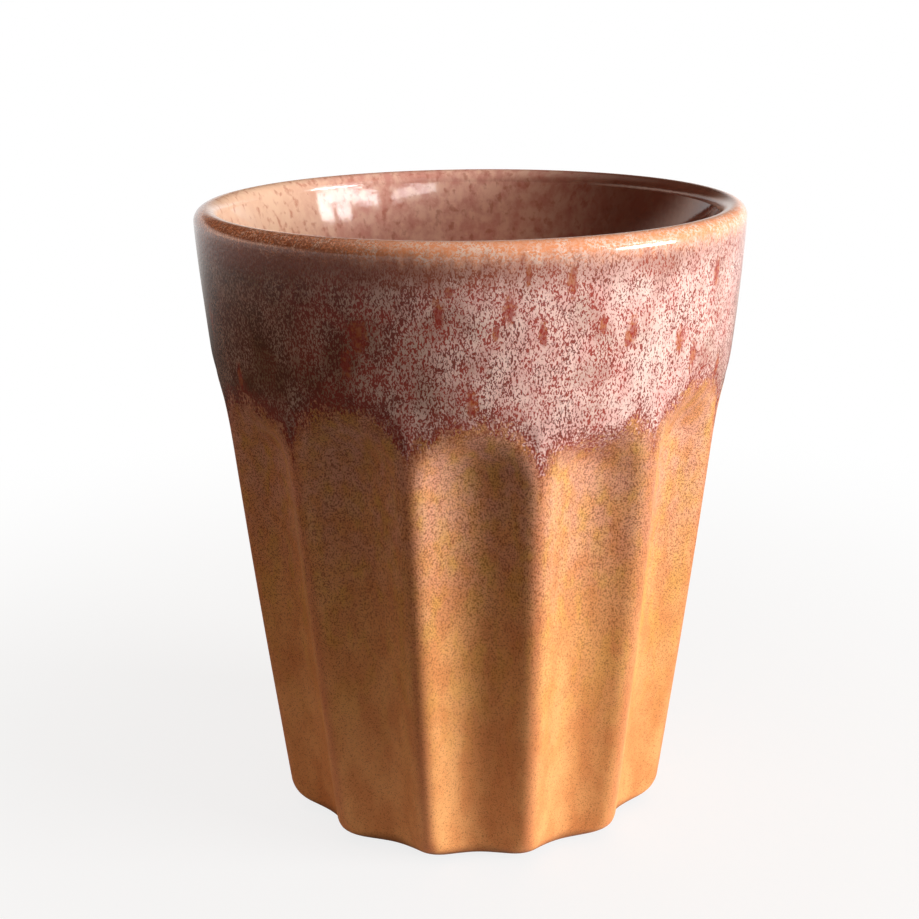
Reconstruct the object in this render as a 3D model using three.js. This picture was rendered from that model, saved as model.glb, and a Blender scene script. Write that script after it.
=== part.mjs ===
// Fluted stoneware tumbler: one fired clay cup that carries three coats of glaze.
// Millimetres, +Z up. The origin is the centre of the foot, on the surface that the cup stands on.
// A flute faces -Y, which is the front.
import * as THREE from "three";

// Overall sizes of the glazed cup
const CUP_HEIGHT = 95;
const RIM_DIAMETER = 81.4;
const SHOULDER_DIAMETER = 76.8; // across the ridges, where the plain band starts
const SHOULDER_HEIGHT = 68;
const BASE_DIAMETER = 60.6; // where the ridge lines would meet the ground
const WALL_BULGE = 0.35; // how far the ridges swell out between ground and shoulder
const BAND_BULGE = 0.25; // how far the band swells out between shoulder and lip

// Clay
const LIP_THICKNESS = 2.6;
const WALL_THICKNESS = 2.5; // left behind the middle of a flute
const FLOOR_THICKNESS = 6;
const FLOOR_FILLET = 9; // inside corner between wall and floor

// Flutes
const FLUTE_COUNT = 13;
const FLUTE_DEPTH = 3.6; // from the ridge circle to the middle of a flute
const FLUTE_CROWN_HEIGHT = 71; // top of each flute's arch
const FLUTE_ARCH_RISE = 6; // from the arch's springing on the ridges to its crown
const FLUTE_RUN_OUT = 8; // height over which a flute fades out below its arch
const RIDGE_ROUNDING = 0.26; // share of a flute's width that its two rounded ridge flanks take

// Foot
const FOOT_EDGE_RADIUS = 2.2; // rounding between the middle of a flute and the foot
const FOOT_RING_WIDTH = 5; // of the flat ring that the cup stands on
const FOOT_RECESS_DEPTH = 1.2;
const FOOT_RECESS_SLOPE = 1.5; // run of the recess's slanted edge
const GLAZE_LINE_HEIGHT = 0.8; // where the glaze starts on the foot's rounding

// Glaze coats
const AMBER_COAT = 0.4;
const BAND_COAT = 0.65;
const LINER_COAT = 0.5;

// Facets
const COLUMNS_PER_FLUTE = 6;
const BARE_FOOT_ROWS = 2;
const GLAZED_FOOT_ROWS = 3;
const RUN_OUT_ROWS = 4;
const BAND_ROWS = 3;
const LIP_ROWS = 6;
const FILLET_ROWS = 4;

const { lerp, smoothstep } = THREE.MathUtils;

// Clay sizes that follow from the glazed ones
const rimRadius = RIM_DIAMETER / 2 - BAND_COAT;
const shoulderRadius = SHOULDER_DIAMETER / 2 - AMBER_COAT;
const baseRadius = BASE_DIAMETER / 2 - AMBER_COAT;
const lipRadius = LIP_THICKNESS / 2;
const lipHeight = CUP_HEIGHT - BAND_COAT - lipRadius; // height of the lip's centre
const lipCentre = rimRadius - lipRadius;

// The wall leans out by footLean at the ground. A rounding between the two has a radius of cornerGrowth
// for each millimetre that it reaches in from the wall's line.
const footLean = Math.atan2(shoulderRadius - baseRadius + 4 * WALL_BULGE, SHOULDER_HEIGHT);
const cornerGrowth = Math.cos(footLean) / (1 - Math.sin(footLean));
const footRadius = baseRadius - FLUTE_DEPTH - FOOT_EDGE_RADIUS / cornerGrowth;

// Numbers from 0 to 1 in equal steps, both ends included
function steps(count) {
  return Array.from({ length: count + 1 }, (_, i) => i / count);
}

// A straight run from start to end that swells by bulge in its middle
function swollen(start, end, t, bulge) {
  return lerp(start, end, t) + bulge * 4 * t * (1 - t);
}

// The clay's radius on a ridge line
function ridgeRadius(z) {
  if (z < SHOULDER_HEIGHT) {
    return swollen(baseRadius, shoulderRadius, z / SHOULDER_HEIGHT, WALL_BULGE);
  }
  const up = (z - SHOULDER_HEIGHT) / (lipHeight - SHOULDER_HEIGHT);
  return swollen(shoulderRadius, rimRadius, up, BAND_BULGE);
}

// A flute's section: 1 in its middle, 0 on its ridges, hollow between and rounded over each ridge.
// across runs from -1 on one ridge to 1 on the next.
function fluteSection(across) {
  const hollow = 1 - RIDGE_ROUNDING;
  const x = Math.abs(across);
  return x < hollow ? 1 - (x * x) / hollow : (1 - x) ** 2 / RIDGE_ROUNDING;
}

// Height of the arch that tops a flute, which is also the line where the two outside glazes meet
function archHeight(across) {
  const share = Math.sqrt(Math.max(0, 1 - across * across));
  return FLUTE_CROWN_HEIGHT - FLUTE_ARCH_RISE * (1 - share);
}

function fluteDepth(across, z) {
  const arch = archHeight(across);
  const fade = smoothstep(arch - z, 0, FLUTE_RUN_OUT);
  return FLUTE_DEPTH * fluteSection(across) * fade;
}

// The foot is round, so the rounding above it grows from the flutes to the ridges
function footRounding(across) {
  return FOOT_EDGE_RADIUS + FLUTE_DEPTH * (1 - fluteSection(across)) * cornerGrowth;
}

function glazeLineAngle(across) {
  return Math.acos(1 - GLAZE_LINE_HEIGHT / footRounding(across));
}

// The functions below give stretches of the section at one place across a flute, as [radius, height]
// points on the clay, or that far outside it when a coat is given.

// Rounding of the wall's lower edge, with angles measured from straight down
function footArc(across, fromAngle, toAngle, rows, coat) {
  const corner = footRounding(across);
  const radius = corner + coat;
  return steps(rows).map((t) => {
    const angle = lerp(fromAngle, toAngle, t);
    return [footRadius + radius * Math.sin(angle), corner - radius * Math.cos(angle)];
  });
}

function wallPoint(across, z, coat) {
  return [ridgeRadius(z) - fluteDepth(across, z) + coat, z];
}

function bareFoot(across) {
  return footArc(across, 0, glazeLineAngle(across), BARE_FOOT_ROWS, 0);
}

// From the glaze line above the foot up to the arch
function flutedWall(across, coat) {
  const arch = archHeight(across);
  const runOut = steps(RUN_OUT_ROWS).map((t) => wallPoint(across, arch - FLUTE_RUN_OUT * (1 - t), coat));
  const wallAngle = Math.PI / 2 - footLean;
  return [...footArc(across, glazeLineAngle(across), wallAngle, GLAZED_FOOT_ROWS, coat), ...runOut];
}

// From the arch up and over the lip to the lip's inner edge
function bandAndLip(across, coat) {
  const arch = archHeight(across);
  const band = steps(BAND_ROWS).map((t) => wallPoint(across, lerp(arch, lipHeight, t), coat));
  const lip = steps(LIP_ROWS).map((t) => {
    const radius = lipRadius + coat;
    return [lipCentre + radius * Math.cos(Math.PI * t), lipHeight + radius * Math.sin(Math.PI * t)];
  });
  return [...band, ...lip.slice(1)];
}

// From the lip's inner edge down the inside wall and over the floor to the axis
function inside(coat) {
  const wall = FLUTE_DEPTH + WALL_THICKNESS;
  const shoulder = shoulderRadius - wall;
  const corner = ridgeRadius(FLOOR_THICKNESS) - wall; // where the wall would meet the floor
  const lean = Math.atan2(shoulder - corner, SHOULDER_HEIGHT - FLOOR_THICKNESS);
  const centre = corner + FLOOR_FILLET * (Math.tan(lean) - 1 / Math.cos(lean));
  const radius = FLOOR_FILLET - coat;
  const fillet = steps(FILLET_ROWS).map((t) => {
    const angle = lerp(-lean, -Math.PI / 2, t);
    return [centre + radius * Math.cos(angle), FLOOR_THICKNESS + FLOOR_FILLET + radius * Math.sin(angle)];
  });
  const lipEdge = [lipCentre - lipRadius - coat, lipHeight];
  const shoulderBend = [shoulder - coat / Math.cos(lean), SHOULDER_HEIGHT];
  return [lipEdge, shoulderBend, ...fillet, [0, FLOOR_THICKNESS + coat]];
}

function footRecess() {
  const edge = footRadius - FOOT_RING_WIDTH;
  return [
    [0, FOOT_RECESS_DEPTH],
    [edge - FOOT_RECESS_SLOPE, FOOT_RECESS_DEPTH],
    [edge, 0],
  ];
}

// Sections of the four bodies. Each goes round its body with the outside on its right-hand side.

function claySection(across) {
  return [
    ...footRecess(),
    ...bareFoot(across).slice(0, -1),
    ...flutedWall(across, 0),
    ...bandAndLip(across, 0).slice(1),
    ...inside(0).slice(1),
  ];
}

function amberSection(across) {
  return [...flutedWall(across, AMBER_COAT), ...flutedWall(across, 0).reverse()];
}

// The band's lower edge lies on the whole upper edge of the amber coat, and stands proud of it
function bandSection(across) {
  const amberEdge = wallPoint(across, archHeight(across), AMBER_COAT);
  return [...bandAndLip(across, BAND_COAT), ...bandAndLip(across, 0).reverse(), amberEdge];
}

function linerSection() {
  return [...inside(0).reverse(), ...inside(LINER_COAT)];
}

// Where a column stands across its flute. Columns crowd towards the ridges, where the section turns most.
function columnAcross(column) {
  const share = (column % COLUMNS_PER_FLUTE) / COLUMNS_PER_FLUTE;
  return Math.sin(Math.PI * (share - 0.5));
}

function columnAngle(column) {
  const flute = Math.floor(column / COLUMNS_PER_FLUTE) + columnAcross(column) / 2;
  return (flute / FLUTE_COUNT) * 2 * Math.PI - Math.PI / 2;
}

// A closed body from one section per column round the axis. A section closes on itself, or starts
// and ends on the axis. Neighbouring bodies split their shared faces along the same diagonals.
function bodyOfSections(sectionAt) {
  const columns = FLUTE_COUNT * COLUMNS_PER_FLUTE;
  const sections = [];
  const positions = [];
  for (let column = 0; column < columns; column++) {
    const section = sectionAt(columnAcross(column));
    const angle = columnAngle(column);
    for (const [radius, z] of section) {
      positions.push(radius * Math.cos(angle), radius * Math.sin(angle), z);
    }
    sections.push(section);
  }
  const rows = sections[0].length;
  const onAxis = (row) => sections[0][row][0] === 0;
  const strips = onAxis(0) ? rows - 1 : rows;
  const faces = [];
  for (let column = 0; column < columns; column++) {
    const next = (column + 1) % columns;
    for (let row = 0; row < strips; row++) {
      const above = (row + 1) % rows;
      const a = column * rows + row;
      const b = next * rows + row;
      const c = next * rows + above;
      const d = column * rows + above;
      const [radius, z] = sections[column][row];
      const [radiusAbove, zAbove] = sections[column][above];
      const rises = z < zAbove || (z === zAbove && radius < radiusAbove);
      if (onAxis(row)) {
        faces.push(a, c, d);
      } else if (onAxis(above)) {
        faces.push(a, b, d);
      } else if (rises) {
        faces.push(a, b, c, a, c, d);
      } else {
        faces.push(a, b, d, b, c, d);
      }
    }
  }
  const geometry = new THREE.BufferGeometry();
  geometry.setAttribute("position", new THREE.Float32BufferAttribute(positions, 3));
  geometry.setIndex(faces);
  geometry.computeVertexNormals();
  return geometry;
}

function finish(color, roughness) {
  return new THREE.MeshStandardMaterial({ color, roughness, metalness: 0 });
}

function piece(name, sectionAt, material) {
  const mesh = new THREE.Mesh(bodyOfSections(sectionAt), material);
  mesh.name = name;
  return mesh;
}

const tumbler = new THREE.Group();
tumbler.add(
  piece("clay_body", claySection, finish(0x9a7350, 0.85)),
  piece("amber_glaze", amberSection, finish(0xb97b43, 0.4)),
  piece("band_glaze", bandSection, finish(0xb5837a, 0.15)),
  piece("liner_glaze", linerSection, finish(0x9c6a60, 0.12)),
);

export default tumbler;
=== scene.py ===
"""Fluted stoneware tumbler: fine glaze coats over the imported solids, a pale floor and soft window light."""
import math

import bpy
import numpy as np
from mathutils import Matrix, Quaternion, Vector


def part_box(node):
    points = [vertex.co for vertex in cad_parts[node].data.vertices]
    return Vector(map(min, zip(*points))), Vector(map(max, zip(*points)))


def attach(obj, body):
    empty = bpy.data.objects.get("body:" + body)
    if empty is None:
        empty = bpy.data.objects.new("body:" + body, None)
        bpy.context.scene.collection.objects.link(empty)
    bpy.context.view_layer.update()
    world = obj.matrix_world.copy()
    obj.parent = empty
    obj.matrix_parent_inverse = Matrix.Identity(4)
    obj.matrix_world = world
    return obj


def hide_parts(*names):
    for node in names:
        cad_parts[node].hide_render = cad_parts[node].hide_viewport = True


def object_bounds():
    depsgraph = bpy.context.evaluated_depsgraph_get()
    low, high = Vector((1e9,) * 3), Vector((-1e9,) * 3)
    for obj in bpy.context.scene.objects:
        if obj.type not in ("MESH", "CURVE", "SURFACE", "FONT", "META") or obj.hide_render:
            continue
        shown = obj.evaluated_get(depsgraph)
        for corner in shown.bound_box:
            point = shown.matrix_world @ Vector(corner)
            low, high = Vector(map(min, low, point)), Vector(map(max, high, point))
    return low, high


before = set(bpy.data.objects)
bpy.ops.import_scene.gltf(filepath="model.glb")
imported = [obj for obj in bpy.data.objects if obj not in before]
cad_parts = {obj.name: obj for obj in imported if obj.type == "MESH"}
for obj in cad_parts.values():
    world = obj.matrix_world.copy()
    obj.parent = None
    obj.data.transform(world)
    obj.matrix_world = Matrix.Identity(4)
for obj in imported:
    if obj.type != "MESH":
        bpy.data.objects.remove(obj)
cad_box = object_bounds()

MM = 0.001

# Sizes read from the frame, in millimetres
CUP_HEIGHT = cad_box[1].z / MM
RIM_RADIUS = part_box("band_glaze")[1].y / MM

# Form of the clay and its coats, in millimetres, as in the solids
SHOULDER_RADIUS = 38.4
SHOULDER_HEIGHT = 68.0
BASE_RADIUS = 30.3
WALL_BULGE = 0.35
BAND_BULGE = 0.25
LIP_THICKNESS = 2.6
WALL_THICKNESS = 2.5
FLOOR_THICKNESS = 6.0
FLOOR_FILLET = 9.0
FLUTE_COUNT = 13
FLUTE_DEPTH = 3.6
FLUTE_CROWN_HEIGHT = 71.0
FLUTE_ARCH_RISE = 6.0
FLUTE_RUN_OUT = 8.0
RIDGE_ROUNDING = 0.26  # share of the half flute
FOOT_EDGE_RADIUS = 2.2
FOOT_RING_WIDTH = 5.0
FOOT_RECESS_DEPTH = 1.2
FOOT_RECESS_SLOPE = 1.5
GLAZE_LINE_HEIGHT = 0.8
AMBER_COAT = 0.4
BAND_COAT = 0.65
LINER_COAT = 0.5

# How the coats' thicknesses change, as shares of the way up a coat
FOOT_SHARE = 0.1  # of the amber coat, for the foot's rounding
RUN_OUT_SHARE = 0.1  # of the amber coat, where the flutes die out
BAND_SHARE = 0.8  # of the band coat, below the lip
AMBER_START = 0.35  # of the amber coat's thickness, at the glaze line
AMBER_FULL = 0.06  # the amber coat is full from here
BAND_FULL = 0.12  # and the band coat from here

# Hand work: how far the carved flutes stray from even spacing, in degrees, and the rest in millimetres
FLUTE_LEAN = 1.3
FLUTE_CROWDING = 1.8
CROWN_STRAY = 1.2  # of the flutes' tops from one height
WALL_STRAY = 0.12  # of the wall from round
RIM_TILT = 0.13  # fall of the rim from the right to the middle, and as much again to the left
INSIDE_BOW = 0.8  # of the inside wall below the lip, towards the axis

# The waves that the hand work follows: steps and turns in radians, heights in millimetres
CROWN_STEP = 2.3  # from one flute's top to the next
CROWN_START = 3.6  # at the front flute
OVAL_TURN = 0.7
THREE_SIDED_SHARE = 0.6  # of a three-sided wave, added to the oval one
THREE_SIDED_TWIST = 31.0  # height over which that wave moves on by one radian
STRAY_ABOVE_FOOT = 20.0  # height over which the wall's stray grows, and over which it ends
STRAY_BELOW_LIP = 15.0

# Fineness of the meshes, with the rows of each stretch of a section in order
COLUMNS_PER_FLUTE = 28
COLUMNS = FLUTE_COUNT * COLUMNS_PER_FLUTE
RECESS_ROWS = 8
BARE_FOOT_ROWS = 8
HIDDEN_ROWS = {"wall": (3, 6, 5), "band": (6, 8), "inside": (3, 3, 5, 2)}
SHOWN_ROWS = {"wall": (10, 36, 20), "band": (44, 24), "inside": (16, 24, 14, 6)}
HIDDEN_MAP_SHARE = 0.04  # of the texture map's height, for the faces that no one sees
CLOSING_SHARE = 0.1  # of that, for the strip from the last row back to the first

clay_rim = RIM_RADIUS - BAND_COAT
clay_shoulder = SHOULDER_RADIUS - AMBER_COAT
clay_base = BASE_RADIUS - AMBER_COAT
inside_depth = FLUTE_DEPTH + WALL_THICKNESS  # behind the ridge lines
inside_shoulder = clay_shoulder - inside_depth
lip_radius = LIP_THICKNESS / 2
lip_height = CUP_HEIGHT - BAND_COAT - lip_radius
lip_centre = clay_rim - lip_radius
wall_lean = math.atan2(clay_shoulder - clay_base + 4 * WALL_BULGE, SHOULDER_HEIGHT)  # at the foot
corner_growth = math.cos(wall_lean) / (1 - math.sin(wall_lean))
foot_radius = clay_base - FLUTE_DEPTH - FOOT_EDGE_RADIUS / corner_growth

# One entry per column round the cup: place in its flute from -1 to 1, and angle from the front
flutes_round = np.arange(COLUMNS) / COLUMNS_PER_FLUTE
across = 2 * (flutes_round % 1) - 1
even_angle = (flutes_round - 0.5) / FLUTE_COUNT * 2 * math.pi


def ease(t):
    """A smooth step from 0 to 1."""
    t = np.clip(t, 0, 1)
    return t * t * (3 - 2 * t)


def swollen(start, end, t, bulge):
    """A straight run from start to end that swells by bulge in its middle."""
    return start + (end - start) * t + bulge * 4 * t * (1 - t)


def ridge_radius(z):
    """The clay's radius on a ridge line."""
    up = (z - SHOULDER_HEIGHT) / (lip_height - SHOULDER_HEIGHT)
    wall = swollen(clay_base, clay_shoulder, z / SHOULDER_HEIGHT, WALL_BULGE)
    band = swollen(clay_shoulder, clay_rim, up, BAND_BULGE)
    return np.where(z < SHOULDER_HEIGHT, wall, band)


def flute_section():
    """1 in the middle of a flute, 0 on its ridges, hollow between and rounded over each ridge."""
    hollow = 1 - RIDGE_ROUNDING
    x = np.abs(across)
    return np.where(x < hollow, 1 - x * x / hollow, (1 - x) ** 2 / RIDGE_ROUNDING)


def crown_height(flute):
    """The top of one flute's arch. Flute 0 is at the front, and the numbers rise to the right."""
    half = FLUTE_COUNT // 2
    from_front = (flute + half) % FLUTE_COUNT - half
    return FLUTE_CROWN_HEIGHT + CROWN_STRAY * np.sin(CROWN_STEP * from_front + CROWN_START)


def arch_height():
    """Height of the arch that tops each flute, where the two outside glazes meet."""
    flute = np.floor(flutes_round)
    crown = crown_height(flute)
    left = (crown_height(flute - 1) + crown) / 2 - FLUTE_ARCH_RISE
    right = (crown_height(flute + 1) + crown) / 2 - FLUTE_ARCH_RISE
    springing = left + (right - left) * (across + 1) / 2
    return springing + (crown - springing) * np.sqrt(np.maximum(0, 1 - across**2))


def flute_depth(z):
    return FLUTE_DEPTH * flute_section() * ease((arch_height() - z) / FLUTE_RUN_OUT)


def foot_rounding():
    """Radius of the wall's lower edge. It grows from the flutes to the ridges: the foot is round."""
    return FOOT_EDGE_RADIUS + FLUTE_DEPTH * (1 - flute_section()) * corner_growth


def glaze_line():
    """Angle up the foot's rounding, from straight down, where the glaze starts."""
    return np.arccos(1 - GLAZE_LINE_HEIGHT / foot_rounding())


def wall_stray(z):
    """A slow unevenness of the thrown wall, which starts above the foot and ends below the lip."""
    oval = np.sin(2 * even_angle + OVAL_TURN)
    three_sided = THREE_SIDED_SHARE * np.sin(3 * even_angle + z / THREE_SIDED_TWIST)
    below_lip = ease((lip_height - z) / STRAY_BELOW_LIP)
    return WALL_STRAY * (oval + three_sided) * ease(z / STRAY_ABOVE_FOOT) * below_lip


def column_angles(z):
    """The angle of each column at height z: the flutes lean and crowd a little towards the front."""
    up = z / CUP_HEIGHT
    stray = FLUTE_LEAN * (1 - up) - FLUTE_CROWDING * np.sin(2 * even_angle) * up
    return even_angle + np.radians(stray)


# Rows of a section: each is (radius, height) with one value per column


def round_row(radius, z):
    return np.full(COLUMNS, float(radius)), np.full(COLUMNS, float(z))


def wall_row(z, coat):
    z = np.broadcast_to(np.asarray(z, float), (COLUMNS,))
    return ridge_radius(z) - flute_depth(z) + wall_stray(z) + coat, z


def foot_row(angle, coat):
    radius = foot_rounding() + coat
    return foot_radius + radius * np.sin(angle), foot_rounding() - radius * np.cos(angle)


def lip_row(turn, coat):
    """turn runs from 0 on the lip's outside to 1 on its inner edge."""
    radius = lip_radius + coat
    angle = math.pi * turn
    return round_row(lip_centre + radius * math.cos(angle), lip_height + radius * math.sin(angle))


# Stretches of a section: lists of rows


def foot_recess():
    """The shallow hollow under the foot, from the axis to the ring that the cup stands on."""
    edge = foot_radius - FOOT_RING_WIDTH
    made = [round_row(0, FOOT_RECESS_DEPTH), round_row(edge / 2, FOOT_RECESS_DEPTH)]
    for t in np.linspace(0, 1, RECESS_ROWS):
        made.append(round_row(edge - FOOT_RECESS_SLOPE * (1 - t), FOOT_RECESS_DEPTH * (1 - ease(t))))
    made.append(round_row(edge + FOOT_RING_WIDTH / 2, 0))
    return made


def bare_foot():
    """From the ground up the foot's rounding to the glaze line."""
    return [foot_row(glaze_line() * t, 0) for t in np.linspace(0, 1, BARE_FOOT_ROWS, endpoint=False)]


def fluted_wall(coat, rows):
    """From the glaze line up to the arches. coat is a function of the share of the way up."""
    foot, straight, run_out = rows
    start = arch_height() - FLUTE_RUN_OUT
    foot_top = foot_rounding() * (1 - math.sin(wall_lean))
    straight_share = 1 - FOOT_SHARE - RUN_OUT_SHARE
    made = []
    for t in np.linspace(0, 1, foot, endpoint=False):
        angle = glaze_line() + (math.pi / 2 - wall_lean - glaze_line()) * t
        made.append(foot_row(angle, coat(FOOT_SHARE * t)))
    for t in np.linspace(0, 1, straight, endpoint=False):
        made.append(wall_row(foot_top + (start - foot_top) * t, coat(FOOT_SHARE + straight_share * t)))
    for t in np.linspace(0, 1, run_out):
        made.append(wall_row(start + FLUTE_RUN_OUT * t, coat(1 - RUN_OUT_SHARE * (1 - t))))
    return made


def band_and_lip(coat, rows):
    """From the arches up and over the lip to its inner edge."""
    band, lip = rows
    arch = arch_height()
    made = []
    for t in np.linspace(0, 1, band, endpoint=False):
        made.append(wall_row(arch + (lip_height - arch) * t, coat(BAND_SHARE * t)))
    for t in np.linspace(0, 1, lip):
        made.append(lip_row(t, coat(BAND_SHARE + (1 - BAND_SHARE) * t)))
    return made


def inside_corner():
    """Lean of the inside wall, and the radius at which the centre of the floor's fillet lies."""
    corner = float(ridge_radius(np.array(FLOOR_THICKNESS))) - inside_depth
    lean = math.atan2(inside_shoulder - corner, SHOULDER_HEIGHT - FLOOR_THICKNESS)
    return lean, corner + FLOOR_FILLET * (math.tan(lean) - 1 / math.cos(lean))


def inside_wall(coat, upper, lower):
    """From the lip's inner edge down to the fillet, with a slight bend at the shoulder."""
    lean, centre = inside_corner()
    radius = FLOOR_FILLET - coat
    knee = (centre + radius * math.cos(lean), FLOOR_THICKNESS + FLOOR_FILLET - radius * math.sin(lean))
    bend = (inside_shoulder - coat / math.cos(lean), SHOULDER_HEIGHT)
    top_radius, top_height = lip_row(1, coat)
    made = []
    for t in np.linspace(0, 1, upper, endpoint=False):
        z = top_height + (bend[1] - top_height) * t
        made.append((swollen(top_radius, bend[0], t, -INSIDE_BOW), z))
    for t in np.linspace(0, 1, lower, endpoint=False):
        made.append(round_row(bend[0] + (knee[0] - bend[0]) * t, bend[1] + (knee[1] - bend[1]) * t))
    return made


def inside_floor(coat, fillet, floor):
    """Round the fillet and over the floor to the axis."""
    lean, centre = inside_corner()
    radius = FLOOR_FILLET - coat
    made = []
    for t in np.linspace(0, 1, fillet):
        angle = -lean + (lean - math.pi / 2) * t
        z = FLOOR_THICKNESS + FLOOR_FILLET + radius * math.sin(angle)
        made.append(round_row(centre + radius * math.cos(angle), z))
    for t in np.linspace(0, 1, floor + 1)[1:]:
        made.append(round_row(centre * (1 - t), FLOOR_THICKNESS + coat))
    return made


def inside(coat, rows):
    upper, lower, fillet, floor = rows
    return inside_wall(coat, upper, lower) + inside_floor(coat, fillet, floor)


def no_coat(t):
    return 0.0


def amber_coat(t):
    """Thin at the glaze line and full a little above it."""
    return AMBER_COAT * (AMBER_START + (1 - AMBER_START) * ease(t / AMBER_FULL))


def band_coat(t):
    """Level with the amber coat at the arches, full above, and down to the liner's thickness inside."""
    rolled = AMBER_COAT + (BAND_COAT - AMBER_COAT) * ease(t / BAND_FULL)
    return rolled + (LINER_COAT - BAND_COAT) * ease((t - BAND_SHARE) / (1 - BAND_SHARE))


# Sections of the four pieces, as (shown rows, hidden rows), each going on from the other


def clay_section():
    hidden = fluted_wall(no_coat, HIDDEN_ROWS["wall"]) + band_and_lip(no_coat, HIDDEN_ROWS["band"])[1:]
    return foot_recess() + bare_foot(), hidden + inside(0, HIDDEN_ROWS["inside"])[1:]


def amber_section():
    hidden = fluted_wall(no_coat, HIDDEN_ROWS["wall"])
    return fluted_wall(amber_coat, SHOWN_ROWS["wall"]), hidden[::-1]


def band_section():
    hidden = band_and_lip(no_coat, HIDDEN_ROWS["band"])
    return band_and_lip(band_coat, SHOWN_ROWS["band"]), hidden[::-1]


def liner_section():
    hidden = inside(0, HIDDEN_ROWS["inside"])
    return inside(LINER_COAT, SHOWN_ROWS["inside"]), hidden[::-1]


# Meshes


def points_round(radius, z):
    """The rows of a section as points in metres, with the rim's tilt."""
    angle = column_angles(z)
    tilt = RIM_TILT * (np.sin(angle) - 1) * ease(z / CUP_HEIGHT)
    return np.stack([radius * np.sin(angle), -radius * np.cos(angle), z + tilt], axis=2) * MM


def map_heights(radius, z, shown_count):
    """Texture height of each row by its length along the section. Hidden rows are squeezed together."""
    steps = np.hypot(np.diff(radius, axis=0), np.diff(z, axis=0)).mean(axis=1)
    along = np.concatenate([[0], np.cumsum(steps)])
    edge = along[shown_count - 1]
    shown = along / edge * (1 - HIDDEN_MAP_SHARE)
    past_edge = (along - edge) / (along[-1] - edge) * HIDDEN_MAP_SHARE * (1 - CLOSING_SHARE)
    hidden = 1 - HIDDEN_MAP_SHARE + past_edge
    return np.append(np.where(np.arange(len(along)) < shown_count, shown, hidden), 1.0)


def stitched(index, on_axis, heights):
    """The faces from each row to the next and back to the first, with the map place of every corner."""
    faces = []
    maps = []
    for row in range(len(index)):
        above = (row + 1) % len(index)
        if on_axis[row] and on_axis[above]:
            continue
        for column in range(COLUMNS):
            beside = (column + 1) % COLUMNS
            corners = ((row, column, 0), (row, beside, 1), (above, beside, 1), (above, column, 0))
            lone = [c for c in corners if not (on_axis[c[0]] and c[1] == beside)]
            faces.append([int(index[r, 0 if on_axis[r] else c]) for r, c, _ in lone])
            maps.extend(((column + side) / COLUMNS, heights[row + (r != row)]) for r, _, side in lone)
    return faces, maps


def lofted(name, section):
    """A closed mesh through the rows of a section, with the facts that its glaze needs on each vertex."""
    shown, hidden = section
    rows = shown + hidden
    radius = np.array([row[0] for row in rows])
    z = np.array([row[1] for row in rows])
    on_axis = radius.max(axis=1) == 0
    keep = np.ones(z.shape, bool)
    keep[on_axis, 1:] = False
    index = np.cumsum(keep.ravel()).reshape(z.shape) - 1
    faces, maps = stitched(index, on_axis, map_heights(radius, z, len(shown)))
    mesh = bpy.data.meshes.new(name)
    mesh.from_pydata(points_round(radius, z)[keep].tolist(), [], faces)
    mesh.uv_layers.new(name="OFBake").uv.foreach_set("vector", np.array(maps, np.float32).ravel())
    store(mesh, "rise", (z - arch_height())[keep])
    store(mesh, "crest", np.broadcast_to(np.abs(across), z.shape)[keep])
    mesh.polygons.foreach_set("use_smooth", [True] * len(faces))
    row_of = np.broadcast_to(np.arange(len(rows))[:, None], z.shape)[keep]
    mark_borders(mesh, row_of, (0, len(shown) - 1))
    return placed(name, mesh)


def store(mesh, name, values):
    attribute = mesh.attributes.new(name, "FLOAT", "POINT")
    attribute.data.foreach_set("value", np.asarray(values, np.float32))


def mark_borders(mesh, row_of, borders):
    """Keeps the shading of the shown faces apart from the hidden ones along their border rows."""
    ends = np.zeros(2 * len(mesh.edges), np.int32)
    mesh.edges.foreach_get("vertices", ends)
    first, second = row_of[ends.reshape(-1, 2)].T
    sharp = (first == second) & np.isin(first, borders)
    mesh.attributes.new("sharp_edge", "BOOLEAN", "EDGE").data.foreach_set("value", sharp)


def placed(name, data):
    made = bpy.data.objects.new(name, data)
    bpy.context.scene.collection.objects.link(made)
    return made


# Shader building blocks

# Ragged edges of the glaze's drops: grain in millimetres, and reach in cells of the pattern
DROP_GRAIN = 0.4
DROP_GRAIN_STRETCH = 1.6
DROP_RAGGED = 0.4


def linear(red, green, blue):
    """A colour given as 0 to 255 screen values, by the standard screen curve."""
    shares = [value / 255 for value in (red, green, blue)]
    return (*(s / 12.92 if s <= 0.04045 else ((s + 0.055) / 1.055) ** 2.4 for s in shares), 1.0)


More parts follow.
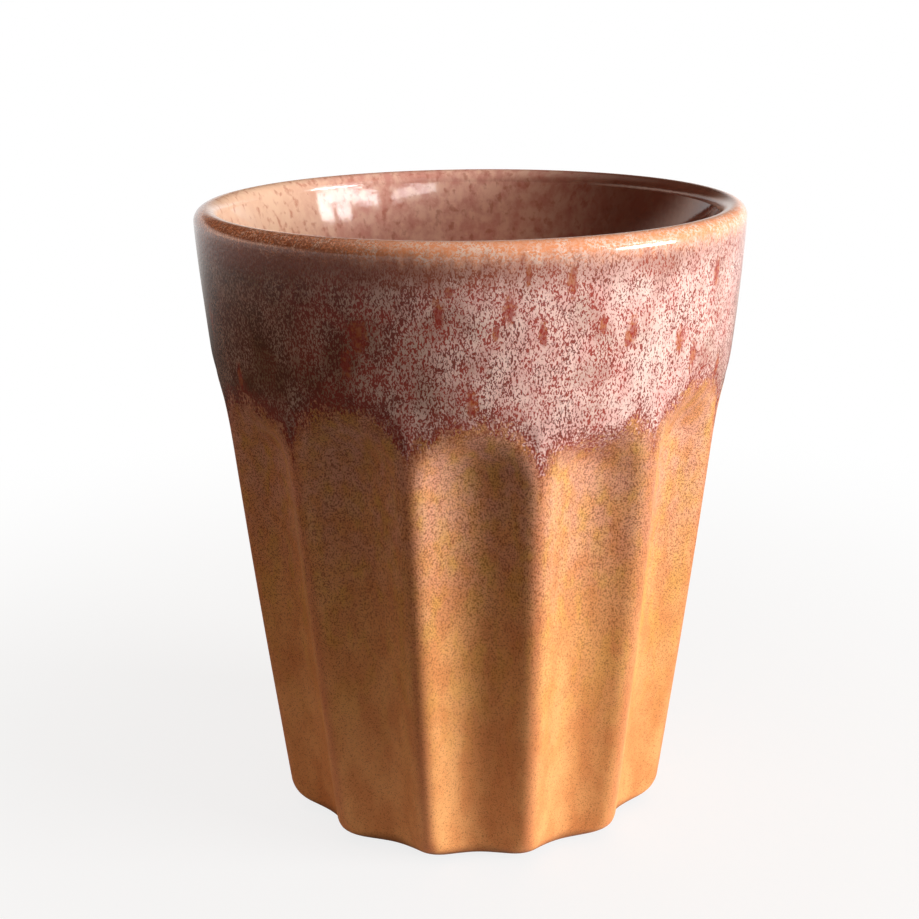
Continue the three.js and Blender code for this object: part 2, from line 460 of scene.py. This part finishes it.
class Shader:
    """Short names for the nodes of one material or world."""

    def __init__(self, owner):
        self.owner = owner
        owner.use_nodes = True
        self.tree = owner.node_tree
        self.tree.nodes.clear()

    def node(self, kind, **settings):
        made = self.tree.nodes.new(kind)
        for name, value in settings.items():
            setattr(made, name, value)
        return made

    def set(self, socket, value):
        if isinstance(value, bpy.types.NodeSocket):
            self.tree.links.new(value, socket)
        else:
            socket.default_value = value

    def math(self, operation, *values):
        made = self.node("ShaderNodeMath", operation=operation)
        for socket, value in zip(made.inputs, values):
            self.set(socket, value)
        return made.outputs[0]

    def times(self, *values):
        total = values[0]
        for value in values[1:]:
            total = self.math("MULTIPLY", total, value)
        return total

    def plus(self, *values):
        total = values[0]
        for value in values[1:]:
            total = self.math("ADD", total, value)
        return total

    def ramp(self, value, low, high, to_low=0.0, to_high=1.0):
        """A smooth step from to_low to to_high, where value goes from low to high."""
        made = self.node("ShaderNodeMapRange", interpolation_type="SMOOTHSTEP")
        for socket, given in zip(made.inputs, (value, low, high, to_low, to_high)):
            self.set(socket, given)
        return made.outputs[0]

    def mix(self, share, a, b):
        made = self.node("ShaderNodeMix", data_type="RGBA")
        self.set(made.inputs["Factor"], share)
        self.set(made.inputs[6], a)
        self.set(made.inputs[7], b)
        return made.outputs[2]

    def attribute(self, name):
        return self.node("ShaderNodeAttribute", attribute_name=name).outputs["Fac"]

    def place(self, stretch=1.0, shift=0.0):
        """Object coordinates in millimetres. A stretch above 1 draws a pattern out along the height."""
        made = self.node("ShaderNodeMapping")
        self.set(made.inputs["Vector"], self.node("ShaderNodeTexCoord").outputs["Object"])
        made.inputs["Scale"].default_value = (1 / MM, 1 / MM, 1 / MM / stretch)
        made.inputs["Location"].default_value = (shift, 2 * shift, 3 * shift)
        return made.outputs[0]

    def axes(self):
        """The place in millimetres as three values: to the right, to the back and up."""
        made = self.node("ShaderNodeSeparateXYZ")
        self.set(made.inputs[0], self.place())
        return made.outputs

    def radius(self):
        """Distance from the cup's axis in millimetres."""
        x, y, _ = self.axes()
        return self.math("SQRT", self.plus(self.times(x, x), self.times(y, y)))

    def area(self, to_right, to_back):
        """1 in an area seen from above. Each side is given by where it starts and where it is full."""
        x, y, _ = self.axes()
        return self.times(self.ramp(x, *to_right), self.ramp(y, *to_back))

    def noise(self, size, stretch=1.0, shift=0.0, detail=2.0, roughness=0.5, distortion=0.0):
        """Noise around 0.5 on a lattice of that size in millimetres."""
        made = self.node("ShaderNodeTexNoise")
        self.set(made.inputs["Vector"], self.place(stretch, shift))
        made.inputs["Scale"].default_value = 1 / size
        made.inputs["Detail"].default_value = detail
        made.inputs["Roughness"].default_value = roughness
        made.inputs["Distortion"].default_value = distortion
        return made.outputs[0]

    def wander(self, reach, size, **pattern):
        """Noise around 0 that keeps within about half of reach on either side."""
        return self.times(self.math("SUBTRACT", self.noise(size, **pattern), 0.5), reach)

    def specks(self, size, cover, softness, stretch=1.0, shift=0.0):
        """Worm-like specks: 1 on a speck. cover near 0.5 takes half of the surface."""
        fine = self.noise(size, stretch, shift, detail=0.0, distortion=1.0)
        edge = self.math("SUBTRACT", 1.0, cover)
        return self.ramp(fine, self.math("SUBTRACT", edge, softness), self.math("ADD", edge, softness))

    def drops(self, spacing, stretch, chance, inner, outer):
        """Scattered upright drops: 1 in a drop. chance is the share of cells that have one."""
        x, y, z = self.axes()
        unrolled = self.node("ShaderNodeCombineXYZ")
        self.set(unrolled.inputs[0], self.times(self.math("ARCTAN2", x, self.times(y, -1.0)), RIM_RADIUS))
        self.set(unrolled.inputs[1], self.times(z, 1 / stretch))
        cells = self.node("ShaderNodeTexVoronoi", voronoi_dimensions="2D")
        self.set(cells.inputs["Vector"], unrolled.outputs[0])
        cells.inputs["Scale"].default_value = 1 / spacing
        split = self.node("ShaderNodeSeparateColor")
        self.set(split.inputs[0], cells.outputs["Color"])
        ragged = self.wander(DROP_RAGGED, DROP_GRAIN, stretch=DROP_GRAIN_STRETCH)
        edge = self.plus(cells.outputs["Distance"], ragged)
        return self.times(self.ramp(edge, outer, inner), self.math("LESS_THAN", split.outputs[0], chance))

    def background_rays(self, mirrored):
        """1 for rays that show the background: seen straight, through glass or, by a share, mirrored."""
        path = self.node("ShaderNodeLightPath").outputs
        straight = self.math("MAXIMUM", path["Is Camera Ray"], path["Is Transmission Ray"])
        return self.math("MAXIMUM", straight, self.times(path["Is Glossy Ray"], mirrored))

    def finish(self, colour, roughness, bump, bump_height, shine):
        principled = self.node("ShaderNodeBsdfPrincipled")
        self.set(principled.inputs["Base Color"], colour)
        self.set(principled.inputs["Roughness"], roughness)
        principled.inputs["Specular IOR Level"].default_value = shine
        bumped = self.node("ShaderNodeBump")
        self.set(bumped.inputs["Height"], bump)
        bumped.inputs["Distance"].default_value = bump_height * MM
        self.set(principled.inputs["Normal"], bumped.outputs[0])
        output = self.node("ShaderNodeOutputMaterial")
        self.set(output.inputs[0], principled.outputs[0])
        return self.owner


# Colours of the glazes and the clay
PINK_GROUND = linear(238, 190, 180)
PINK_PALE = linear(252, 216, 204)
PINK_OLIVE = linear(132, 98, 64)
WORM_BROWN = linear(128, 40, 26)
WORM_RED = linear(164, 50, 36)
WORM_OLIVE = linear(84, 54, 30)
DROP_RED = linear(164, 56, 42)
DROP_RUST = linear(190, 104, 58)
THIN_BROWN = linear(152, 80, 50)
LIP_ORANGE = linear(250, 164, 116)
LIP_PINK = linear(255, 226, 208)
LIP_RUST_AND_SHADE = linear(152, 84, 58)
EDGE_RED = linear(150, 50, 32)
AMBER_DEEP = linear(224, 148, 88)
AMBER_LIGHT = linear(240, 172, 108)
AMBER_OCHRE = linear(228, 174, 80)
AMBER_HAZE = linear(236, 176, 154)
AMBER_CREST = linear(210, 126, 88)
AMBER_SPECK = linear(130, 58, 22)
AMBER_FOOT_SHADE = linear(120, 72, 48)
LINER_LIT_PEACH = linear(255, 216, 182)
LINER_MAUVE = linear(232, 164, 148)
LINER_PALE = linear(255, 206, 184)
LINER_RUST = linear(190, 96, 74)
LINER_SHADE_BROWN = linear(100, 52, 38)
CLAY_DARK = linear(148, 112, 80)
CLAY_LIGHT = linear(186, 148, 108)
CLAY_IRON = linear(96, 64, 44)

# Steps that turn noise into clouds, or into patches where it is high
CLOUDS = (0.35, 0.65)
WIDE_CLOUDS = (0.3, 0.7)
CRISP_CLOUDS = (0.4, 0.6)
THIN_PATCHES = (0.48, 0.7)
OCHRE_PATCHES = (0.45, 0.65)
RUST_PATCHES = (0.52, 0.7)
DROP_PATCHES = (0.45, 0.6)

# The drops that stand out at the front: place to the right and up, half width and half height
FRONT_DROPS = (
    (-14.4, 82.5, 1.3, 2.5),
    (-2.8, 88.6, 0.7, 0.8),
    (3.2, 83.4, 0.5, 1.3),
    (7.3, 90.6, 0.4, 1.5),
    (9.2, 82.9, 0.6, 1.7),
    (17.1, 83.6, 0.5, 1.3),
    (20.5, 81.2, 0.6, 1.5),
)
FRONT_DROP_STEP = (1.1, 0.7)  # from its outside to its inside, where 1 is its outline
FRONT_DROP_RAGGED = 1.2


def front_drops(s):
    """1 in one of the front drops, which have ragged edges."""
    x, y, z = s.axes()
    ragged = s.wander(FRONT_DROP_RAGGED, DROP_GRAIN, stretch=DROP_GRAIN_STRETCH, shift=13)
    found = 0.0
    for middle, height, half_width, half_height in FRONT_DROPS:
        aside = s.times(s.math("SUBTRACT", x, middle), 1 / half_width)
        above = s.times(s.math("SUBTRACT", z, height), 1 / half_height)
        away = s.math("SQRT", s.plus(s.times(aside, aside), s.times(above, above)))
        found = s.math("MAXIMUM", found, s.ramp(s.plus(away, ragged), *FRONT_DROP_STEP))
    return s.times(found, s.math("LESS_THAN", y, 0.0))


# The pink glaze. Changes across the cup go from one place to another, in millimetres to the right. The darker
# olive ground and the extra worms towards the left are painted shade, in part the glaze's own olive.
PINK_SHADED_LEFT = (4.0, -28.0)
PINK_SHADED_FAR_LEFT = (-12.0, -32.0)
PINK_RIGHT = (0.0, 32.0)
OLIVE_THIN = 0.35  # share of olive where the glaze is thin, and on the left as painted shade
OLIVE_SHADE_LEFT = 0.6
WORM_SIZE = 0.23
WORM_COVER = (0.435, 0.515)  # in open and in crowded places
WORM_COVER_SHADE_LEFT = 0.08  # what the left adds to it as painted shade, and what the right and the edge add
WORM_COVER_RIGHT = -0.04
WORM_COVER_EDGE = 0.1
WORM_OLIVE_SHADE_SHARE = 0.8
WORM_EDGE_SHARE = 0.7
WORM_STRENGTH = 0.92
DROP_STRENGTH = 0.8


def worm_colour(s, x, edge):
    colour = s.mix(s.ramp(s.noise(4.0, shift=23), *CRISP_CLOUDS), WORM_BROWN, WORM_RED)
    # Olive worms towards the far left are painted shade, in part the glaze's own olive
    colour = s.mix(s.ramp(x, *PINK_SHADED_FAR_LEFT, to_high=WORM_OLIVE_SHADE_SHARE), colour, WORM_OLIVE)
    return s.mix(s.times(edge, WORM_EDGE_SHARE), colour, EDGE_RED)


def pink_colour(s, edge):
    """Reactive pink glaze: pale ground, fine red-brown worms that crowd near the edge, and rust drops, with
    painted shade darkening it towards the left.
    """
    x, _, _ = s.axes()
    # Painted shade: the ground turns olive and the worms crowd towards the left
    left = s.ramp(x, *PINK_SHADED_LEFT)
    right = s.ramp(x, *PINK_RIGHT)
    ground = s.mix(s.ramp(s.noise(3.0, stretch=1.4, detail=3), *CLOUDS), PINK_GROUND, PINK_PALE)
    thin = s.ramp(s.noise(9.0, shift=40), *THIN_PATCHES)
    ground = s.mix(s.plus(s.times(thin, OLIVE_THIN), s.times(left, OLIVE_SHADE_LEFT)), ground, PINK_OLIVE)
    cover = s.plus(
        s.ramp(s.noise(3.4, stretch=1.3, shift=7), *WIDE_CLOUDS, *WORM_COVER),
        s.times(left, WORM_COVER_SHADE_LEFT),
        s.times(right, WORM_COVER_RIGHT),
        s.times(edge, WORM_COVER_EDGE),
    )
    worms = s.specks(WORM_SIZE, cover, softness=0.07, stretch=1.9)
    colour = s.mix(s.times(worms, WORM_STRENGTH), ground, worm_colour(s, x, edge))
    drop_colour = s.mix(s.ramp(s.noise(0.8, shift=3), *DROP_PATCHES), DROP_RED, DROP_RUST)
    drops = s.drops(spacing=4.4, stretch=2.5, chance=0.2, inner=0.1, outer=0.24)
    drops = s.math("MAXIMUM", drops, front_drops(s))
    return s.mix(s.times(drops, DROP_STRENGTH), colour, drop_colour)


# The lip: heights, places to the right and places to the back, in millimetres
LIP_WANDER = 3.0  # of the heights where the glaze is thin and where it breaks
LIP_THIN_HEIGHTS = (87.2, 91.5)
LIP_CREST_HEIGHTS = (91.0, 94.2)
LIP_INNER_HEIGHTS = (91.0, 92.4)
LIP_THIN_SIDES = (22.0, -8.0)
LIP_THIN_SHARES = (0.4, 0.76)
LIP_PATCH_SHARES = (0.25, 0.85)
LIP_HIGHLIGHT_FRONT_RIGHT = {"to_right": (-20.0, 0.0), "to_back": (10.0, -15.0)}
LIP_SHADE_FRONT_LEFT = {"to_right": (-4.0, -24.0), "to_back": (10.0, -5.0)}
LIP_RUST_SHADE_STRENGTH = 0.8
LIP_TURN_START = lip_centre + 0.8  # radius where the inner side's colour starts
LIP_TURN_END = lip_centre - 0.6


def crest_colour(s, radius):
    """Orange with pale specks over the crest, rust specks deepened by painted shade on the front left, and
    inside a painted highlight of pale pink at the front right and the liner's colour elsewhere.
    """
    patches = s.ramp(s.noise(2.0, shift=17), *CLOUDS, *LIP_PATCH_SHARES)
    pale = s.times(s.specks(0.34, 0.5, softness=0.1, shift=5), patches)
    # Dark specks on the front left: in part the glaze's rust, in part painted shade
    rust = s.specks(0.3, 0.56, softness=0.1, shift=15)
    rust = s.times(s.area(**LIP_SHADE_FRONT_LEFT), rust, LIP_RUST_SHADE_STRENGTH)
    crest = s.mix(rust, s.mix(pale, LIP_ORANGE, LIP_PINK), LIP_RUST_AND_SHADE)
    # Pale pink on the inside of the lip at the front right is a painted highlight
    inner = s.mix(s.area(**LIP_HIGHLIGHT_FRONT_RIGHT), liner_colour(s), LIP_PINK)
    return s.mix(s.ramp(radius, LIP_TURN_START, LIP_TURN_END), crest, inner)


def lip_colour(s, below):
    """The pink glaze runs thin under the lip, where it is brown, and breaks to orange over the crest."""
    x, _, z = s.axes()
    radius = s.radius()
    height = s.plus(z, s.wander(LIP_WANDER, 1.0, stretch=2, shift=11))
    thin = s.times(s.ramp(height, *LIP_THIN_HEIGHTS), s.ramp(x, *LIP_THIN_SIDES, *LIP_THIN_SHARES))
    inner_edge = s.times(s.ramp(radius, LIP_TURN_START, lip_centre), s.ramp(z, *LIP_INNER_HEIGHTS))
    over = s.math("MAXIMUM", s.ramp(height, *LIP_CREST_HEIGHTS), inner_edge)
    return s.mix(over, s.mix(thin, below, THIN_BROWN), crest_colour(s, radius))


# The amber glaze: heights in millimetres between which a layer grows, and how strongly it covers
AMBER_HEIGHTS = (4.0, 66.0)
HAZE_HEIGHTS = (32.0, 68.0)
FOOT_SHADE_HEIGHTS = (3.0, 0.8)
OCHRE_STRENGTH = 0.75
HAZE_STRENGTH = 0.7
HAZE_SHARES = (0.25, 1.0)  # between and in its clouds
CREST_STEP = (0.8, 0.98)  # place across a flute, where 1 is its ridge line
CREST_STRENGTH = 0.45
SPECK_SIZE = 0.19
SPECK_COVER = (0.37, 0.44)  # at the foot and at the arches
SPECK_COVER_EDGE = 0.08
SPECK_STRENGTHS = (0.4, 0.7)  # at the foot and at the arches
FOOT_SHADE_STRENGTH = 0.8


def amber_colour(s, edge):
    """Satin amber: caramel ground, brown specks that thin out downwards, pink haze near the arches, and a
    dark painted shade along the foot.
    """
    _, _, height = s.axes()
    up = s.ramp(height, *AMBER_HEIGHTS)
    ground = s.ramp(s.noise(3.5, stretch=2.2, detail=3), *WIDE_CLOUDS)
    colour = s.mix(ground, AMBER_DEEP, AMBER_LIGHT)
    ochre = s.ramp(s.noise(2.2, stretch=2.5, shift=17), *OCHRE_PATCHES)
    colour = s.mix(s.times(ochre, up, OCHRE_STRENGTH), colour, AMBER_OCHRE)
    hazy = s.ramp(s.noise(2.4, stretch=1.3, shift=29, detail=3), *CLOUDS, *HAZE_SHARES)
    colour = s.mix(s.times(hazy, s.ramp(height, *HAZE_HEIGHTS), HAZE_STRENGTH), colour, AMBER_HAZE)
    ridge = s.ramp(s.attribute("crest"), *CREST_STEP, to_high=CREST_STRENGTH)
    colour = s.mix(ridge, colour, AMBER_CREST)
    cover = s.plus(s.ramp(up, 0.0, 1.0, *SPECK_COVER), s.times(edge, SPECK_COVER_EDGE))
    specks = s.specks(SPECK_SIZE, cover, softness=0.07, stretch=1.2)
    colour = s.mix(s.times(specks, s.ramp(up, 0.0, 1.0, *SPECK_STRENGTHS)), colour, AMBER_SPECK)
    # Painted shade: dark brown just above the glaze line
    return s.mix(s.ramp(height, *FOOT_SHADE_HEIGHTS, to_high=FOOT_SHADE_STRENGTH), colour, AMBER_FOOT_SHADE)


# Where the two outside glazes meet, in millimetres above the arches, and the run of the pink one
MEETING_RAGGED = 8.0
MEETING_WANDER = 6.0
MEETING_STEP = (-0.5, 0.5)
EDGE_BELOW = (-4.0, 0.0)
EDGE_ABOVE = (4.0, 0.5)
EDGE_STRENGTH = 0.4
RUN_LENGTH = 3.6
RUN_START = {"to_right": (7.0, 13.0), "to_back": (0.0, -10.0)}
RUN_END = (24.0, 18.0)
AMBER_ROUGHNESS = 0.5
BAND_ROUGHNESS = 0.13
AMBER_SHINE = 0.22
BAND_SHINE = 0.5
OUTSIDE_BUMP = 0.03


def glaze_run(s):
    """How far down the pink glaze has run: over the flute to the right of the front one."""
    x, _, _ = s.axes()
    return s.times(s.area(**RUN_START), s.ramp(x, *RUN_END), RUN_LENGTH)


def outside_glaze(name, shine):
    """The two outside glazes as they run into each other along the arches, for both coats."""
    s = Shader(bpy.data.materials.new(name))
    slow = s.wander(MEETING_WANDER, 3.2, shift=9)
    ragged = s.wander(MEETING_RAGGED, 0.34, stretch=1.6, detail=1)
    smooth_rise = s.plus(s.attribute("rise"), slow, glaze_run(s))
    pink = s.ramp(s.plus(smooth_rise, ragged), *MEETING_STEP)
    edge = s.times(s.ramp(smooth_rise, *EDGE_BELOW), s.ramp(smooth_rise, *EDGE_ABOVE))
    banded = lip_colour(s, pink_colour(s, edge))
    colour = s.mix(pink, amber_colour(s, edge), banded)
    red = s.specks(0.5, 0.48, softness=0.15, stretch=1.4, shift=31)
    colour = s.mix(s.times(edge, red, EDGE_STRENGTH), colour, EDGE_RED)
    roughness = s.ramp(pink, 0.0, 1.0, AMBER_ROUGHNESS, BAND_ROUGHNESS)
    return s.finish(colour, roughness, s.noise(0.6), OUTSIDE_BUMP, shine)


# The liner and the clay, with places in millimetres to the right. The liner's peach on the left is painted
# light and its brown on the right is painted shade.
LINER_LIT_LEFT = (-18.0, -32.0)
LINER_SHADED_RIGHT = (0.0, 28.0)
LINER_LIT_STRENGTH = 0.75
LINER_RUST_STRENGTH = 0.5
LINER_SHADE_STRENGTH = 0.95
LINER_ROUGHNESS = 0.07
LINER_SHINE = 0.5
LINER_BUMP = 0.008
CLAY_ROUGHNESS = 0.85
CLAY_SHINE = 0.3
CLAY_BUMP = 0.06


def liner_colour(s):
    """Pale and mauve clouds with small rust patches, peach as painted light on the left and browner as
    painted shade on the right.
    """
    x, _, _ = s.axes()
    mottle = s.noise(2.2, stretch=1.3, detail=4, roughness=0.6)
    colour = s.mix(s.ramp(mottle, *CLOUDS), LINER_MAUVE, LINER_PALE)
    # Painted light: peach on the lit left of the inside
    colour = s.mix(s.ramp(x, *LINER_LIT_LEFT, to_high=LINER_LIT_STRENGTH), colour, LINER_LIT_PEACH)
    rust = s.ramp(s.noise(1.2, stretch=1.3, shift=4, detail=3), *RUST_PATCHES)
    colour = s.mix(s.times(rust, LINER_RUST_STRENGTH), colour, LINER_RUST)
    # Painted shade: brown on the shaded right of the inside
    return s.mix(s.ramp(x, *LINER_SHADED_RIGHT, to_high=LINER_SHADE_STRENGTH), colour, LINER_SHADE_BROWN)


def liner_glaze():
    s = Shader(bpy.data.materials.new("liner_glaze"))
    return s.finish(liner_colour(s), LINER_ROUGHNESS, s.noise(0.8), LINER_BUMP, LINER_SHINE)


def bare_clay():
    s = Shader(bpy.data.materials.new("bare_clay"))
    grain = s.noise(0.25, detail=4, roughness=0.7)
    colour = s.mix(s.ramp(grain, *WIDE_CLOUDS), CLAY_DARK, CLAY_LIGHT)
    colour = s.mix(s.specks(0.5, 0.3, softness=0.03), colour, CLAY_IRON)
    return s.finish(colour, CLAY_ROUGHNESS, grain, CLAY_BUMP, CLAY_SHINE)


def dress(name, section, node, material):
    made = lofted(name, section)
    made.data.materials.append(material)
    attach(made, "root")
    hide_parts(node)


amber_glaze = outside_glaze("amber_glaze", AMBER_SHINE)
band_glaze = outside_glaze("band_glaze", BAND_SHINE)
dress("stoneware_body", clay_section(), "clay_body", bare_clay())
dress("amber_coat", amber_section(), "amber_glaze", amber_glaze)
dress("pink_band_coat", band_section(), "band_glaze", band_glaze)
dress("liner_coat", liner_section(), "liner_glaze", liner_glaze())


# The floor, with distances from the cup's axis in metres
FLOOR_HALF = 6.0
FLOOR_PALE = linear(238, 238, 238)
FLOOR_GLOW = 0.82  # share of plain white in the floor close to the cup, as the camera sees it
FADE_START = 0.05
FADE_END = 0.22
BOUNCE_NEAR = 0.7  # what the floor throws back at the cup, close to it and further out
BOUNCE_FAR = 0.15
BOUNCE_REACH = 0.09
MIRROR_START = 0.25  # from here to there the floor turns white in the glaze's reflections too
MIRROR_END = 0.7


def pale_floor():
    """A pale floor that keeps the shadow near the cup and runs out to white."""
    s = Shader(bpy.data.materials.new("pale_floor"))
    length = s.node("ShaderNodeVectorMath", operation="LENGTH")
    s.set(length.inputs[0], s.node("ShaderNodeTexCoord").outputs["Object"])
    away = length.outputs["Value"]
    shows = s.background_rays(s.ramp(away, MIRROR_START, MIRROR_END))
    bounce = s.ramp(away, FADE_START, BOUNCE_REACH, BOUNCE_NEAR, BOUNCE_FAR)
    fade = s.ramp(away, FADE_START, FADE_END, FLOOR_GLOW, 1.0)
    shade = s.node("ShaderNodeBsdfDiffuse")
    s.set(shade.inputs["Color"], s.mix(shows, bounce, FLOOR_PALE))
    both = s.node("ShaderNodeMixShader")
    s.set(both.inputs[0], s.times(fade, shows))
    s.set(both.inputs[1], shade.outputs[0])
    s.set(both.inputs[2], s.node("ShaderNodeEmission").outputs[0])
    output = s.node("ShaderNodeOutputMaterial")
    s.set(output.inputs[0], both.outputs[0])
    return s.owner


def add_floor():
    mesh = bpy.data.meshes.new("floor")
    h = FLOOR_HALF
    mesh.from_pydata([(-h, -h, 0), (h, -h, 0), (h, h, 0), (-h, h, 0)], [], [(0, 1, 2, 3)])
    mesh.materials.append(pale_floor())
    floor = placed("floor", mesh)


# The windows, in metres and degrees
CUP_MIDDLE = Vector((0, 0, 0.05))
WINDOW_DISTANCE = 0.8
WINDOW_RADIANCE = 16.0
DAYLIGHT_RADIANCE = 35.2
SECOND_RADIANCE = 11.2
WINDOW_ROLL = -9


def add_pane(name, azimuth, elevation, size, radiance, roll=0):
    """A soft rectangular light that faces the cup. Azimuth is from the front, to the right."""
    lamp = bpy.data.lights.new(name, "AREA")
    lamp.shape = "RECTANGLE"
    lamp.size, lamp.size_y = size
    lamp.energy = radiance * math.pi * size[0] * size[1]
    made = placed(name, lamp)
    a, e = math.radians(azimuth), math.radians(elevation)
    away = Vector((math.sin(a) * math.cos(e), -math.cos(a) * math.cos(e), math.sin(e)))
    made.location = CUP_MIDDLE + away * WINDOW_DISTANCE
    facing = (-away).to_track_quat("-Z", "Y")
    made.rotation_euler = (facing @ Quaternion((0, 0, 1), math.radians(roll))).to_euler()
    made.visible_camera = False


# The room: the light from each side, and the parts of a direction between which it grows
WORLD_FRONT = (0.06, 0.04, 0.028, 1)
WORLD_LEFT = (2.6, 1.85, 1.5, 1)
WORLD_TOP = (0.78, 0.63, 0.52, 1)
WORLD_BACK = (0.80, 0.80, 0.82, 1)
WHITE = (1, 1, 1, 1)
TO_LEFT = (-0.866, 0.5)  # to the left and a little to the back
LEFT_SIDE = (0.4, 0.9)
LEFT_TOP = (0.28, 0.1)
BACK_SIDE = (0.45, 0.9)
BACK_TOP = (0.25, 0.05)
CEILING = (0.6, 0.95)


def set_world():
    """White to the camera, and to mirrored rays low behind the cup. To other rays it is a dim room with a
    bright wall behind, and light from the left and from above."""
    world = bpy.data.worlds.new("studio")
    bpy.context.scene.world = world
    s = Shader(world)
    direction = s.node("ShaderNodeSeparateXYZ")
    s.set(direction.inputs[0], s.node("ShaderNodeTexCoord").outputs["Generated"])
    x, y, z = direction.outputs
    left = s.plus(s.times(x, TO_LEFT[0]), s.times(y, TO_LEFT[1]))
    low_left = s.times(s.ramp(left, *LEFT_SIDE), s.ramp(z, *LEFT_TOP))
    low_behind = s.times(s.ramp(y, *BACK_SIDE), s.ramp(z, *BACK_TOP))
    room = s.mix(low_left, WORLD_FRONT, WORLD_LEFT)
    room = s.mix(low_behind, room, WORLD_BACK)
    room = s.mix(s.ramp(z, *CEILING), room, WORLD_TOP)
    background = s.node("ShaderNodeBackground")
    s.set(background.inputs["Color"], s.mix(s.background_rays(low_behind), room, WHITE))
    s.set(s.node("ShaderNodeOutputWorld").inputs[0], background.outputs[0])


# The camera as the cup's outline in the photo places it: millimetres, degrees and pixels of its frame
CAMERA_BACK = 231.3
CAMERA_HEIGHT = 125.6
CAMERA_PITCH = 17.12
CAMERA_ROLL = -0.49
FOCAL_PIXELS = 1548.0
FRAME_PIXELS = 919.0
CUP_AXIS_PIXEL = 471.95
SENSOR = 36.0
NEAREST = 10.0


def add_camera():
    data = bpy.data.cameras.new("camera")
    data.sensor_width = SENSOR
    data.lens = FOCAL_PIXELS / FRAME_PIXELS * SENSOR
    data.clip_start = NEAREST * MM
    camera = placed("camera", data)
    yaw = math.atan2(CUP_AXIS_PIXEL - FRAME_PIXELS / 2, FOCAL_PIXELS)
    turn = (
        Matrix.Rotation(yaw, 4, "Z")
        @ Matrix.Rotation(math.radians(90 - CAMERA_PITCH), 4, "X")
        @ Matrix.Rotation(math.radians(CAMERA_ROLL), 4, "Z")
    )
    place = Matrix.Translation((0, -CAMERA_BACK * MM, CAMERA_HEIGHT * MM))
    camera.matrix_world = place @ turn
    bpy.context.scene.camera = camera


add_floor()
set_world()
add_pane("daylight", 72, 6.5, (0.38, 0.2), DAYLIGHT_RADIANCE)
add_pane("window_upper", 69, 28.0, (0.46, 0.032), WINDOW_RADIANCE, WINDOW_ROLL)
add_pane("window_lower_right", 82, 23.0, (0.105, 0.036), WINDOW_RADIANCE, WINDOW_ROLL)
add_pane("window_lower_left", 71.5, 24.8, (0.11, 0.036), WINDOW_RADIANCE, WINDOW_ROLL)
add_pane("second_window", 31, 32.6, (0.3, 0.02), SECOND_RADIANCE, WINDOW_ROLL)
add_camera()
bpy.context.scene.view_settings.view_transform = "Standard"
